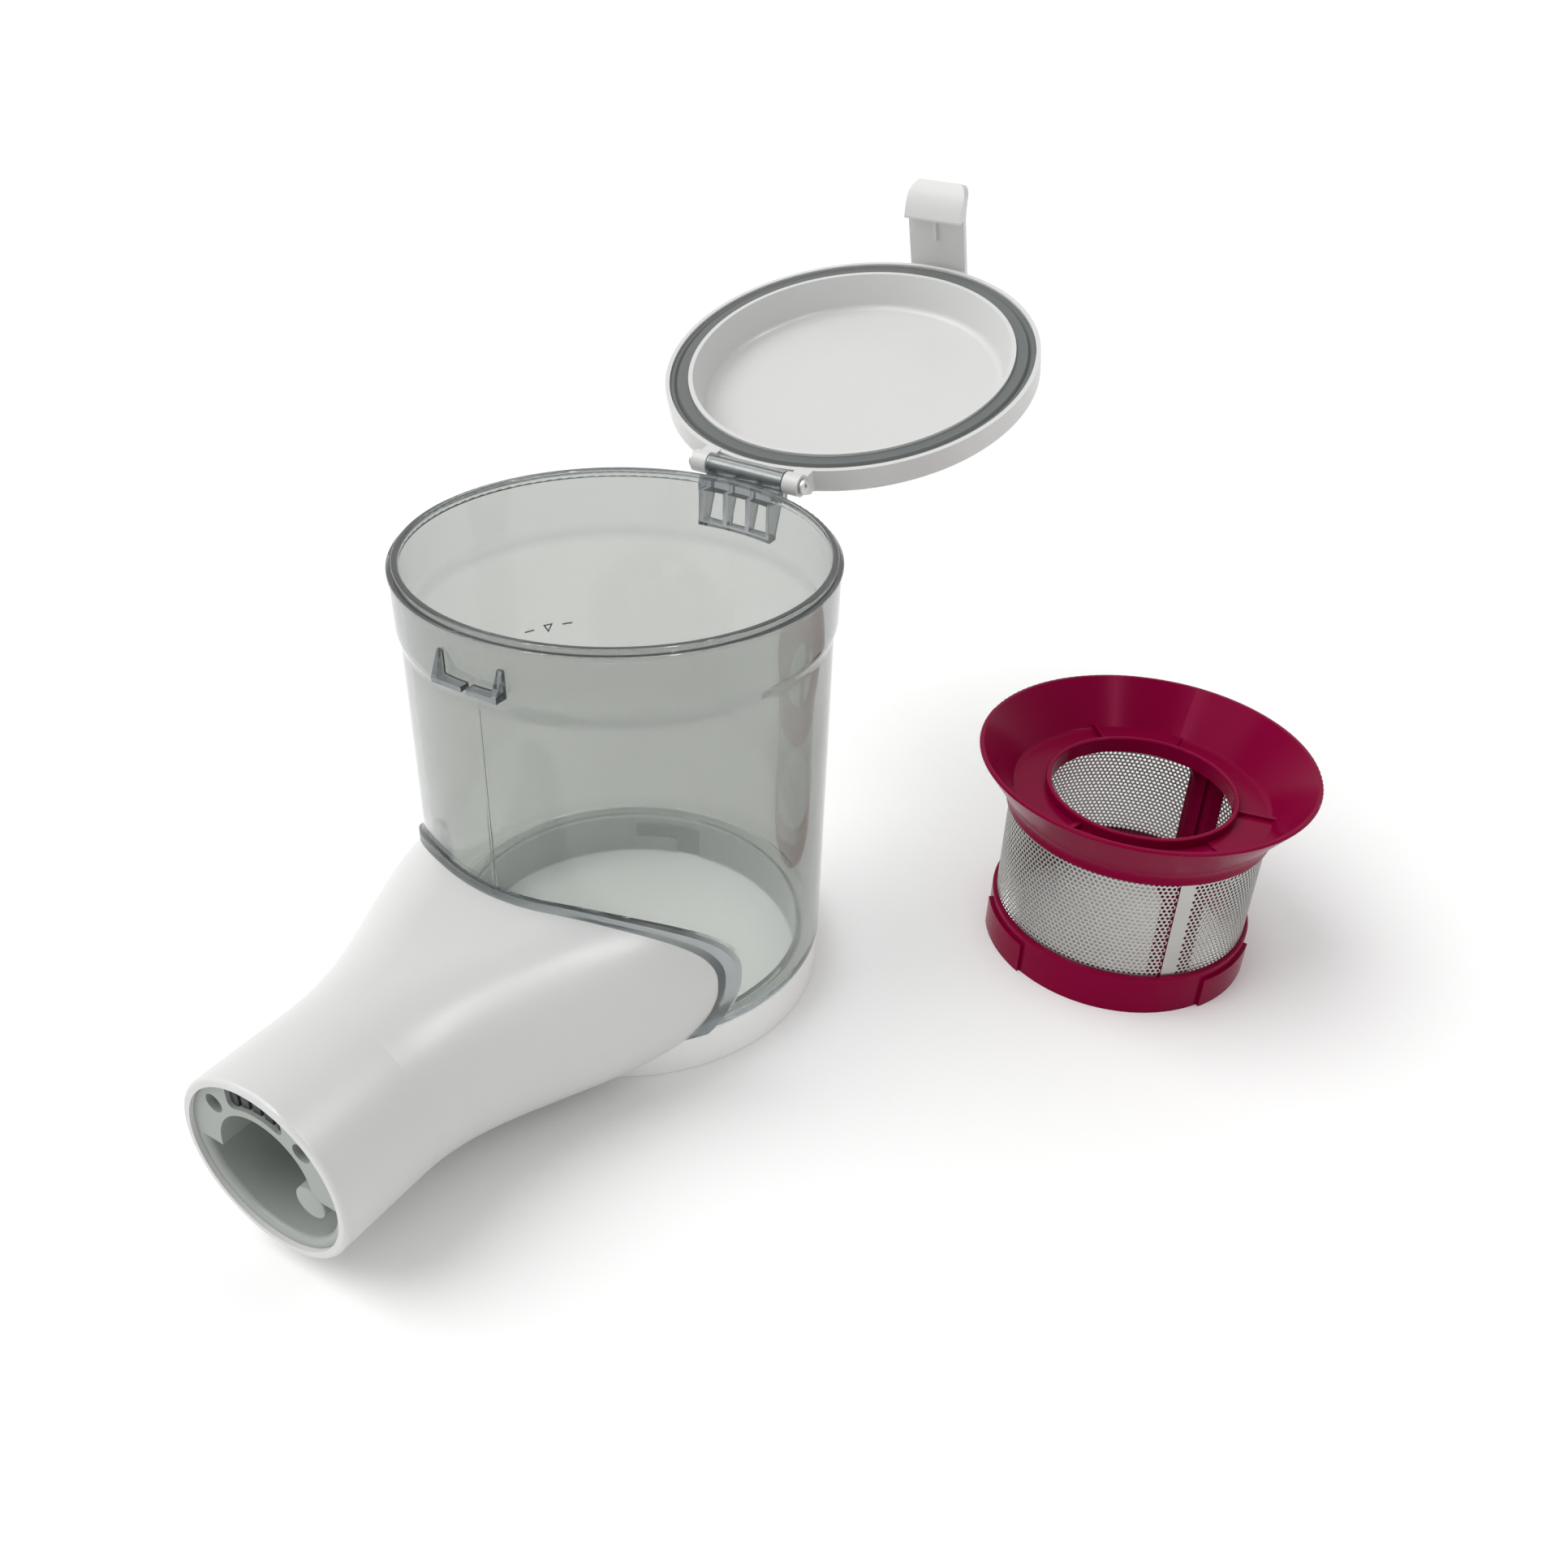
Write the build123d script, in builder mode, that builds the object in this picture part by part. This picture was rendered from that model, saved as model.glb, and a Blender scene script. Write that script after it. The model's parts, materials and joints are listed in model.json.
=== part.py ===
"""Cyclone dust bin of a stick vacuum: clear cup, hinged lid, inlet duct and a lift-out screen.

The bin stands on its motor-side opening with its emptying lid swung open.  The origin is on the
cup's axis at the table, +Z is up, the inlet duct runs along -X and the lid's hinge is at +X.
All sizes are in millimetres.
"""

import os
from math import cos, radians, sin, sqrt

from build123d import *

# Clearances
running_gap = 0.08
seat_gap = 0.1
seal_gap = 0.3

# Dust cup, radii about the Z axis
body_radius = 56.9
body_taper = 0.4
cup_wall = 2.0
collar_step = 0.6
collar_wall = 2.5
collar_height = 14.0
shoulder_height = 3.0
shoulder_round = 6.0
rim_height = 132.0
rim_thickness = 1.6
flange_overhang = 0.5
lip_height = 1.4
lip_wall = 1.7
floor_level = 12.8
floor_thickness = 2.0
floor_round = 1.2
bore_ledge = 6.6
bore_wall = 1.6
edge_round = 0.5

# Bayonet slots in the bore wall
bayonet_count = 3
bayonet_phase = 9.0
bayonet_depth = 0.8
bayonet_entry_arc = 9.0
bayonet_run_arc = 16.0
bayonet_run_height = 5.0
bayonet_lip = 6.0

# White foot ring round the bore wall
foot_inset = 0.3
foot_wall = 1.7

# Inlet duct and its saddle on the cup
tube_radius = 25.2
tube_axis_height = 31.0
tube_straight = 28.0
tube_flat = 0.3
tube_mouth_round = 1.0
duct_reach = 81.1
duct_wall = 2.2
saddle_inset = 6.5
saddle_rise = 0.4
saddle_bottom = 0.8
saddle_flat = 0.9
saddle_end = 14.0
flare_length = 82.0
flare_steps = 7
bead_width = 2.8
bead_height = 1.3
window_width = 60.0
window_height = 32.0
window_corner = 11.0

# Grey socket liner in the tube's end
liner_recess = 1.2
liner_length = 30.0
liner_band = 8.6
liner_wall = 2.3
liner_step = 1.0
liner_lead = 1.7
key_radius = 4.3
key_inset = 6.8
key_drop = 3.2
key_setback = 4.0
screw_inset = 4.3
screw_angle = 43.0
screw_recess_radius = 2.6
screw_recess_depth = 14.0
screw_head_radius = 2.3
screw_head_height = 1.7
screw_radius = 1.2
screw_length = 22.0
screw_boss_radius = 4.7
screw_boss_length = 11.0
slot_width = 17.0
slot_wall = 1.9
slot_round = 1.6

# Spring contacts in the liner's slot
contact_setback = 7.0
contact_block_length = 18.0
blade_count = 4
blade_pitch = 3.6
blade_thickness = 0.8
blade_height = 3.0
blade_reach = 4.5

# Lid hinge
hinge_offset = 4.5
hinge_rise = 0.5
lid_open_angle = 162.5
pin_radius = 1.5
pin_head_radius = 2.3
pin_head_height = 0.8
pin_dimple_radius = 0.9
pin_dimple_depth = 0.5
knuckle_radius = 3.2
cup_knuckle_length = 25.2
lid_knuckle_length = 5.0
knuckle_side_gap = 0.4
gusset_spread = 7.8
gusset_thickness = 1.4
gusset_drop = 14.0
gusset_foot = 2.6
bracket_web = 3.2

# Lid, drawn closed on the rim
lid_overhang = 0.6
lid_rim_wall = 1.5
lid_side_height = 8.0
lid_skin = 1.8
lid_edge_drop = 0.1
pan_depth = 10.5
pan_draft = 3.0
pan_rim_width = 1.4
pan_rim_drop = 0.5
pan_round = 2.5
gasket_width = 5.8
gasket_height = 3.2
gasket_groove_inset = 1.8
gasket_groove_width = 1.2
gasket_groove_depth = 0.9

# Snap latch: catch on the cup's collar, tongue on the lid
catch_drop = 12.0
catch_spread = 18.0
catch_rib_thickness = 1.5
catch_rib_height = 7.4
catch_reach = 2.8
catch_bar_height = 1.4
catch_bar_gap = 1.6
tongue_width = 20.0
tongue_thickness = 1.8
tongue_offset = 3.4
tongue_root_height = 3.2
hook_reach = 1.5
hook_height = 2.1
lip_drop = 10.0
lip_flare = 3.6
tongue_rib_width = 1.0
tongue_rib_height = 7.6
tongue_rib_reach = 1.4

# Cyclone screen, standing beside the bin
screen_x = 90.0
screen_y = -123.0
skirt_gap = 0.5
skirt_height = 18.0
skirt_wall = 1.8
skirt_round = 5.0
skirt_band_wall = 1.2
skirt_band_height = 3.2
skirt_floor_drop = 13.6
mouth_radius = 26.8
mouth_wall = 1.6
mouth_rise = 3.2
grip_rib_count = 3
grip_rib_width = 1.4
grip_rib_height = 1.6
grip_step_arc = 42.0
grip_step_height = 0.6
screen_radius = 38.1
screen_thickness = 0.4
screen_height = 34.0
screen_seat = 2.0
base_height = 13.0
base_lip = 1.2
base_ledge = 0.9
lug_step = 1.0
lug_height = 10.0
lug_count = 3
lug_arc = 36.0
lug_phase = 136.0
post_count = 3
post_phase = 100.6
post_width = 7.6
post_rib_width = 2.0
post_rib_height = 1.2
frame_wall = 2.0
frame_band = 2.0
arch_radius = 8.0
window_rows = 5
window_columns = 24
window_radius = 2.6


# Places worked out from the sizes above: the cup and its foot
collar_radius = body_radius + collar_step
rim_radius = collar_radius + flange_overhang
bore_radius = body_radius - bore_ledge
bore_outer_radius = bore_radius + bore_wall
foot_radius = body_radius - foot_inset
flange_top = rim_height - lip_height
flange_bottom = flange_top - rim_thickness
shoulder_top = flange_bottom - collar_height
shoulder_bottom = shoulder_top - shoulder_height
body_top_radius = body_radius - body_taper
lip_inner_radius = collar_radius - collar_wall
lip_outer_radius = lip_inner_radius + lip_wall
cup_floor_top = floor_level + floor_thickness
catch_level = flange_bottom - catch_drop

# The lid and its hinge
lid_radius = rim_radius + lid_overhang
gasket_outer_radius = lid_radius - lid_rim_wall
gasket_inner_radius = gasket_outer_radius - gasket_width
gasket_groove_radius = gasket_outer_radius - gasket_groove_inset
gasket_face = rim_height + seal_gap
groove_level = gasket_face + gasket_height
pan_mouth_radius = gasket_inner_radius - seat_gap - pan_rim_width
pan_floor_radius = pan_mouth_radius - pan_draft
pan_floor = rim_height + pan_depth
lid_edge = rim_height - lid_edge_drop
lid_side_top = lid_edge + lid_side_height
lid_top = pan_floor + lid_skin
hinge_x = rim_radius + hinge_offset
hinge_z = rim_height + hinge_rise
hinge_axis = Axis((hinge_x, 0, hinge_z), (0, 1, 0))

# The duct and its liner
tube_end = body_radius + duct_reach
straight_end = -(tube_end - tube_straight)
saddle_half_width = body_radius - saddle_inset
saddle_top = tube_axis_height + tube_radius + saddle_rise
saddle_corner = (saddle_top - saddle_bottom) / 2 - saddle_flat
tube_inner_radius = tube_radius - duct_wall
liner_radius = tube_inner_radius - seat_gap
liner_bore_radius = liner_radius - liner_band
liner_lower_radius = liner_radius - liner_wall
liner_front = -(tube_end - liner_recess)
liner_back = liner_front + liner_length
slot_inner_radius = liner_bore_radius + slot_wall
key_side = liner_lower_radius - key_inset
screw_side = (liner_radius - screw_inset) * cos(radians(screw_angle))
screw_rise = (liner_radius - screw_inset) * sin(radians(screw_angle))


def at_radius(radius, degrees):
    """Point on a circle round the Z axis, as X and Y."""
    return radius * cos(radians(degrees)), radius * sin(radians(degrees))


def upright_plane(degrees, x=0, y=0):
    """Upright plane through a vertical axis, its X direction pointing outwards at that angle."""
    turn = radians(degrees)
    return Plane(origin=(x, y, 0), x_dir=(cos(turn), sin(turn), 0), z_dir=(sin(turn), -cos(turn), 0))


def corners_near(sketch, *places):
    """Corners of a profile nearest to the given places."""
    return [min(sketch.vertices(), key=lambda v: (v.X - x) ** 2 + (v.Y - y) ** 2) for x, y in places]


def duct_section(x, inset):
    """Cross-section of the duct at x, shrunk by inset: round in the tube, wide and squarish at the cup."""
    along = min(1, max(0, (x + tube_end - tube_straight) / flare_length))
    spread = along * along * (3 - 2 * along)
    half_width = tube_radius + spread * (saddle_half_width - tube_radius)
    top = tube_axis_height + tube_radius
    top += spread * (saddle_top - top)
    bottom = tube_axis_height - tube_radius
    bottom += spread * (saddle_bottom - bottom)
    tube_round = tube_radius - tube_flat
    corner = tube_round + spread * (saddle_corner - tube_round)
    with BuildSketch(Plane.YZ.offset(x)) as section:
        with Locations((0, (top + bottom) / 2)):
            RectangleRounded(2 * (half_width - inset), top - bottom - 2 * inset, corner - inset)
    return section.sketch


def flare_sections(inset):
    """Cross-sections from the end of the straight tube to well inside the cup."""
    start = straight_end
    step = (-saddle_end - start) / flare_steps
    return [duct_section(start + step * index, inset) for index in range(flare_steps + 1)]


def slot_section(x, outer_radius, gap):
    """Cross-section of the contact slot at x, shrunk by gap, with rounded corners at its foot."""
    inner_radius = slot_inner_radius + gap
    half_width = slot_width / 2 - gap
    foot = tube_axis_height + sqrt(inner_radius**2 - half_width**2)
    with BuildSketch(Plane.YZ.offset(x)) as section:
        with Locations((0, tube_axis_height)):
            Circle(outer_radius)
            Circle(inner_radius, mode=Mode.SUBTRACT)
            Rectangle(
                2 * half_width,
                2 * outer_radius,
                align=(Align.CENTER, Align.MIN),
                mode=Mode.INTERSECT,
            )
        fillet(corners_near(section, (-half_width, foot), (half_width, foot)), slot_round - gap)
    return section.sketch


# Dust cup: turned wall, bayonet slots, saddle bead, inlet window, latch catch and hinge bracket
with BuildPart() as dust_cup:
    loft(sections=flare_sections(-bead_width))
    with BuildSketch(Plane.XY.offset(floor_level)):
        Circle(body_radius + bead_height)
        Circle(body_radius - cup_wall / 2, mode=Mode.SUBTRACT)
    extrude(amount=rim_height - floor_level, mode=Mode.INTERSECT)
    loft(sections=flare_sections(-seat_gap), mode=Mode.SUBTRACT)

    with BuildSketch(Plane.XZ) as wall:
        with BuildLine():
            Polyline(
                (bore_radius, 0),
                (bore_radius, cup_floor_top),
                (body_radius - cup_wall, cup_floor_top),
                (body_top_radius - cup_wall, shoulder_bottom),
                (lip_inner_radius, shoulder_top),
                (lip_inner_radius, rim_height),
                (lip_outer_radius, rim_height),
                (lip_outer_radius, flange_top),
                (rim_radius, flange_top),
                (rim_radius, flange_bottom),
                (collar_radius, flange_bottom),
                (collar_radius, shoulder_top),
                (body_top_radius, shoulder_bottom),
                (body_radius, floor_level),
                (bore_outer_radius, floor_level),
                (bore_outer_radius, 0),
                close=True,
            )
        make_face()
        rim_corners = corners_near(
            wall,
            (lip_inner_radius, rim_height),
            (lip_outer_radius, rim_height),
            (rim_radius, flange_top),
            (rim_radius, flange_bottom),
        )
        fillet(rim_corners, edge_round)
        shoulder_corners = corners_near(
            wall,
            (lip_inner_radius, shoulder_top),
            (body_top_radius - cup_wall, shoulder_bottom),
            (collar_radius, shoulder_top),
            (body_top_radius, shoulder_bottom),
        )
        fillet(shoulder_corners, shoulder_round)
        floor_corners = corners_near(
            wall,
            (body_radius - cup_wall, cup_floor_top),
            (body_radius, floor_level),
        )
        fillet(floor_corners, floor_round)
    revolve(axis=Axis.Z)

    for index in range(bayonet_count):
        entry = bayonet_phase + index * 360 / bayonet_count
        with BuildSketch(upright_plane(entry)):
            with Locations((bore_radius, 0)):
                Rectangle(2 * bayonet_depth, 2 * (bayonet_lip + bayonet_run_height))
        revolve(axis=Axis.Z, revolution_arc=bayonet_entry_arc, mode=Mode.SUBTRACT)
        with BuildSketch(upright_plane(entry + bayonet_entry_arc)):
            with Locations((bore_radius, bayonet_lip)):
                Rectangle(2 * bayonet_depth, bayonet_run_height, align=(Align.CENTER, Align.MIN))
        revolve(axis=Axis.Z, revolution_arc=bayonet_run_arc, mode=Mode.SUBTRACT)

    with BuildSketch(Plane.YZ.offset(-rim_radius - bead_height)):
        with Locations((0, tube_axis_height)):
            RectangleRounded(window_width, window_height, window_corner)
    extrude(amount=rim_radius / 2, mode=Mode.SUBTRACT)

    catch_root = -(collar_radius - collar_wall / 2)
    catch_face = -(collar_radius + catch_reach)
    for side in (-1, 1):
        with BuildSketch(Plane.XZ.offset(side * catch_spread / 2)):
            with BuildLine():
                Polyline(
                    (catch_root, catch_level),
                    (catch_face, catch_level),
                    (catch_face, catch_level + catch_bar_height),
                    (-collar_radius, catch_level + catch_rib_height),
                    (catch_root, catch_level + catch_rib_height),
                    close=True,
                )
            make_face()
        extrude(amount=catch_rib_thickness / 2, both=True)
        with BuildSketch(Plane.XY.offset(catch_level)):
            with Locations(((catch_root + catch_face) / 2, side * (catch_spread + catch_bar_gap) / 4)):
                Rectangle(catch_root - catch_face, (catch_spread - catch_bar_gap) / 2)
        extrude(amount=catch_bar_height)

    bracket_root = collar_radius - collar_wall / 2
    bracket_top = flange_top - edge_round
    gusset_bottom = bracket_top - gusset_drop
    for place in (-1.5, -0.5, 0.5, 1.5):
        with BuildSketch(Plane.XZ.offset(place * gusset_spread)):
            with BuildLine():
                Polyline(
                    (bracket_root, gusset_bottom),
                    (collar_radius + gusset_foot, gusset_bottom),
                    (hinge_x + knuckle_radius / 2, bracket_top - bracket_web),
                    (hinge_x + knuckle_radius / 2, bracket_top),
                    (bracket_root, bracket_top),
                    close=True,
                )
            make_face()
        extrude(amount=gusset_thickness / 2, both=True)
    with BuildSketch(Plane.XZ):
        with Locations(((bracket_root + hinge_x) / 2, bracket_top - bracket_web / 2)):
            Rectangle(hinge_x - bracket_root, bracket_web)
        with Locations((bracket_root, gusset_bottom)):
            Rectangle(
                collar_radius + gusset_foot - bracket_root,
                gusset_thickness,
                align=(Align.MIN, Align.MIN),
            )
        with Locations((hinge_x, hinge_z)):
            Circle(knuckle_radius)
    extrude(amount=cup_knuckle_length / 2, both=True)
    with BuildSketch(Plane.XZ):
        with Locations((hinge_x, hinge_z)):
            Circle(pin_radius + seat_gap / 2)
    extrude(amount=cup_knuckle_length, both=True, mode=Mode.SUBTRACT)


# Foot ring: a channel open underneath, round the cup's bore wall
with BuildPart() as foot_ring:
    with BuildSketch(Plane.XZ) as channel:
        with BuildLine():
            Polyline(
                (bore_outer_radius + seat_gap, 0),
                (bore_outer_radius + seat_gap, floor_level - seat_gap),
                (foot_radius, floor_level - seat_gap),
                (foot_radius, 0),
                (foot_radius - foot_wall, 0),
                (foot_radius - foot_wall, floor_level - foot_wall),
                (bore_outer_radius + seat_gap + foot_wall, floor_level - foot_wall),
                (bore_outer_radius + seat_gap + foot_wall, 0),
                close=True,
            )
        make_face()
        fillet(corners_near(channel, (foot_radius, floor_level - seat_gap), (foot_radius, 0)), edge_round)
    revolve(axis=Axis.Z)


# Inlet duct: round tube that flares into a saddle on the cup, with two screw bosses inside
boss_places = [(side * screw_side, tube_axis_height + screw_rise) for side in (-1, 1)]
with BuildPart() as inlet_duct:
    loft(sections=flare_sections(0))
    extrude(duct_section(straight_end, 0), amount=-tube_straight)
    tube_mouth = inlet_duct.faces().sort_by(Axis.X)[0]
    fillet(tube_mouth.edges(), tube_mouth_round)
    loft(sections=flare_sections(duct_wall), mode=Mode.SUBTRACT)
    with BuildSketch(Plane.YZ.offset(straight_end)):
        with Locations((0, tube_axis_height)):
            Circle(tube_inner_radius)
    extrude(amount=-tube_straight, mode=Mode.SUBTRACT)
    with BuildSketch(Plane.YZ.offset(liner_back + seat_gap)):
        with Locations(*boss_places):
            Circle(screw_boss_radius)
        with Locations((0, tube_axis_height)):
            Circle(tube_inner_radius + duct_wall / 2, mode=Mode.INTERSECT)
    extrude(amount=screw_boss_length)
    with BuildSketch(Plane.YZ.offset(liner_back)):
        with Locations(*boss_places):
            Circle(screw_radius + seat_gap / 2)
    extrude(amount=screw_boss_length, mode=Mode.SUBTRACT)
    with BuildSketch(Plane.XY):
        Circle(body_radius + seat_gap)
    extrude(amount=rim_height, mode=Mode.SUBTRACT)


# Socket liner: bore for the wand with a wide lower half, a round key, screw recesses and a slot
with BuildPart() as socket_liner:
    with BuildSketch(Plane.YZ.offset(liner_front)):
        with Locations((0, tube_axis_height)):
            Circle(liner_radius)
            Circle(liner_bore_radius, mode=Mode.SUBTRACT)
    extrude(amount=liner_length)
    with BuildSketch(Plane.YZ.offset(liner_front)):
        with Locations((0, tube_axis_height)):
            Circle(liner_lower_radius)
        with Locations((0, tube_axis_height - liner_step)):
            Rectangle(
                2 * liner_radius, liner_radius, align=(Align.CENTER, Align.MIN), mode=Mode.SUBTRACT
            )
    extrude(amount=liner_length, mode=Mode.SUBTRACT)
    front_arcs = socket_liner.edges().filter_by(GeomType.CIRCLE).group_by(Axis.X)[0]
    fillet([arc for arc in front_arcs if abs(arc.radius - liner_lower_radius) < seat_gap], liner_lead)
    with BuildSketch(Plane.YZ.offset(liner_front + key_setback)):
        with Locations((-key_side, tube_axis_height - key_drop)):
            Circle(key_radius)
    extrude(amount=liner_length - key_setback)
    extrude(slot_section(liner_front, liner_radius + duct_wall, 0), amount=liner_length, mode=Mode.SUBTRACT)
    with BuildSketch(Plane.YZ.offset(liner_front)):
        with Locations(*boss_places):
            Circle(screw_recess_radius)
    extrude(amount=screw_recess_depth, mode=Mode.SUBTRACT)
    with BuildSketch(Plane.YZ.offset(liner_front)):
        with Locations(*boss_places):
            Circle(screw_radius + seat_gap / 2)
    extrude(amount=liner_length, mode=Mode.SUBTRACT)


# Liner screws: pan heads at the foot of the recesses, shanks into the duct's bosses
with BuildPart() as liner_screws:
    with BuildSketch(Plane.YZ.offset(liner_front + screw_recess_depth)):
        with Locations(*boss_places):
            Circle(screw_head_radius)
    extrude(amount=-screw_head_height)
    with BuildSketch(Plane.YZ.offset(liner_front + screw_recess_depth)):
        with Locations(*boss_places):
            Circle(screw_radius)
    extrude(amount=screw_length)


# Contact block: fills the back of the liner's slot
contact_front = liner_front + contact_setback
with BuildPart() as contact_block:
    extrude(slot_section(contact_front, liner_radius, seat_gap), amount=contact_block_length)


# Contact blades: a row of upright spring strips on the block's face
blade_level = tube_axis_height + (slot_inner_radius + liner_radius) / 2
with BuildPart() as contact_blades:
    with BuildSketch(Plane.YZ.offset(contact_front)):
        with Locations((0, blade_level)):
            with GridLocations(blade_pitch, 0, blade_count, 1):
                Rectangle(blade_thickness, blade_height)
    extrude(amount=-blade_reach)
    tips = contact_blades.faces().group_by(Axis.X)[0].edges().filter_by(Axis.Y)
    fillet(tips, blade_height / 3)


# Hinge pin through the cup's long knuckle and the lid's two short ones, with a dimpled head at each end
lid_knuckle_start = cup_knuckle_length / 2 + knuckle_side_gap
pin_shoulder = lid_knuckle_start + lid_knuckle_length + knuckle_side_gap
with BuildPart() as hinge_pin:
    with BuildSketch(Plane.XZ):
        with Locations((hinge_x, hinge_z)):
            Circle(pin_radius)
    extrude(amount=pin_shoulder, both=True)
    for side in (-1, 1):
        with BuildSketch(Plane.XZ.offset(side * pin_shoulder)):
            with Locations((hinge_x, hinge_z)):
                Circle(pin_head_radius)
        extrude(amount=side * pin_head_height)
        with BuildSketch(Plane.XZ.offset(side * (pin_shoulder + pin_head_height))):
            with Locations((hinge_x, hinge_z)):
                Circle(pin_dimple_radius)
        extrude(amount=-side * pin_dimple_depth, mode=Mode.SUBTRACT)
    head_rims = [
        hinge_pin.edges().group_by(Axis.Y)[end].sort_by(SortBy.LENGTH)[-1]
        for end in (0, -1)
    ]
    chamfer(head_rims, pin_head_height / 3)


# Lid, closed: latch tongue, turned pan with a gasket groove, two hinge arms
tongue_inner = -(lid_radius + tongue_offset)
tongue_outer = tongue_inner - tongue_thickness
tongue_root = -(lid_radius - lid_skin / 2)
tongue_top = lid_side_top - lid_skin
hook_top = catch_level - seal_gap
hook_tip = -(collar_radius + hook_reach)
tongue_end = hook_top - lip_drop
with BuildPart() as lid_closed:
    with BuildSketch(Plane.XZ) as tongue:
        with BuildLine():
            ledge = Line((tongue_inner, hook_top), (hook_tip, hook_top))
            nose = Line(ledge @ 1, (hook_tip, hook_top - hook_height / 3))
            ramp = Spline(
                nose @ 1,
                (tongue_inner + hook_reach, hook_top - hook_height * 2),
                (tongue_outer - lip_flare + tongue_thickness / 2, tongue_end),
            )
            tip = Line(ramp @ 1, (tongue_outer - lip_flare, tongue_end + tongue_thickness / 2))
            curl = Spline(
                tip @ 1,
                (tongue_outer - lip_flare / 3, hook_top - hook_height * 2),
                (tongue_outer, hook_top),
            )
            back = Line(curl @ 1, (tongue_outer, tongue_top))
            Polyline(
                back @ 1,
                (tongue_root, tongue_top),
                (tongue_root, tongue_top - tongue_root_height),
                (tongue_inner, tongue_top - tongue_root_height),
                ledge @ 0,
            )
        make_face()
        elbow = corners_near(tongue, (tongue_outer, tongue_top))
        fillet(elbow, tongue_thickness * 1.3)
        crook = corners_near(tongue, (tongue_inner, tongue_top - tongue_root_height))
        fillet(crook, tongue_thickness / 2)
    extrude(amount=tongue_width / 2, both=True)
    with BuildSketch(Plane.YZ.offset(tongue_root)):
        with Locations((0, tongue_end)):
            RectangleRounded(
                tongue_width,
                2 * lid_top,
                tongue_thickness * 2,
                align=(Align.CENTER, Align.MIN),
            )
    extrude(amount=-lid_radius, mode=Mode.INTERSECT)
    with BuildSketch(Plane.XZ):
        with Locations((tongue_inner, hook_top)):
            Rectangle(tongue_rib_reach, tongue_rib_height, align=(Align.MIN, Align.MIN))
    extrude(amount=tongue_rib_width / 2, both=True)

    with BuildSketch(Plane.XZ) as pan:
        with BuildLine():
            Polyline(
                (0, pan_floor),
                (pan_floor_radius, pan_floor),
                (pan_mouth_radius, rim_height - pan_rim_drop),
                (pan_mouth_radius + pan_rim_width, rim_height - pan_rim_drop),
                (gasket_inner_radius - seat_gap, groove_level),
                (gasket_outer_radius + seat_gap, groove_level),
                (gasket_outer_radius + seat_gap, lid_edge),
                (lid_radius, lid_edge),
                (lid_radius, lid_side_top),
                (pan_floor_radius + 2 * lid_skin, lid_side_top),
                (pan_floor_radius + lid_skin, lid_top),
                (0, lid_top),
                close=True,
            )
        make_face()
        fillet(corners_near(pan, (pan_floor_radius, pan_floor)), pan_round)
        fillet(corners_near(pan, (lid_radius, lid_side_top)), lid_skin)
        fillet(corners_near(pan, (pan_floor_radius + lid_skin, lid_top)), lid_skin)
    revolve(axis=Axis.Z)

    arm_root = lid_radius - 2 * lid_skin
    for side in (-1, 1):
        arm_plane = Plane.XZ.offset(side * (lid_knuckle_start + lid_knuckle_length / 2))
        with BuildSketch(arm_plane):
            with BuildLine():
                Polyline(
                    (arm_root, lid_edge),
                    (hinge_x, hinge_z - knuckle_radius / 2),
                    (hinge_x, hinge_z + knuckle_radius),
                    (lid_radius, lid_edge + lid_side_height - lid_skin),
                    (arm_root, lid_edge + lid_side_height - lid_skin),
                    close=True,
                )
            make_face()
            with Locations((hinge_x, hinge_z)):
                Circle(knuckle_radius)
                Circle(pin_radius + running_gap, mode=Mode.SUBTRACT)
        extrude(amount=lid_knuckle_length / 2, both=True)
    with BuildSketch(Plane.XY.offset(lid_edge - knuckle_radius)):
        Circle(gasket_outer_radius + seat_gap)
        Circle(gasket_inner_radius - seat_gap, mode=Mode.SUBTRACT)
    extrude(amount=groove_level - lid_edge + knuckle_radius, mode=Mode.SUBTRACT)


# Lid gasket: flat sealing band with a groove near its outer edge
with BuildPart() as gasket_closed:
    with BuildSketch(Plane.XZ):
        with BuildLine():
            Polyline(
                (gasket_inner_radius, gasket_face),
                (gasket_groove_radius - gasket_groove_width / 2, gasket_face),
                (gasket_groove_radius, gasket_face + gasket_groove_depth),
                (gasket_groove_radius + gasket_groove_width / 2, gasket_face + seal_gap),
                (gasket_outer_radius, gasket_face + seal_gap),
                (gasket_outer_radius, groove_level),
                (gasket_inner_radius, groove_level),
                close=True,
            )
        make_face()
    revolve(axis=Axis.Z)


# Cyclone screen: axis, levels and the plane of its turned profiles
screen_axis = Axis((screen_x, screen_y, 0), (0, 0, 1))
screen_plane = Plane(origin=(screen_x, screen_y, 0), x_dir=(1, 0, 0), z_dir=(0, -1, 0))
skirt_bottom = base_height + screen_height
skirt_top = skirt_bottom + skirt_height
skirt_floor = skirt_top - skirt_floor_drop
skirt_floor_under = skirt_floor - skirt_wall
band_radius = screen_radius + seat_gap + skirt_band_wall
skirt_radius = bore_radius - skirt_gap
base_radius = screen_radius + seat_gap + base_lip
screen_inner_radius = screen_radius - screen_thickness


def screen_spoke(degrees, radius, level):
    """Plane square to a spoke of the screen, its normal pointing outwards."""
    x, y = at_radius(radius, degrees)
    outward = (cos(radians(degrees)), sin(radians(degrees)), 0)
    across = (-sin(radians(degrees)), cos(radians(degrees)), 0)
    return Plane(origin=(screen_x + x, screen_y + y, level), x_dir=across, z_dir=outward)


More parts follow.
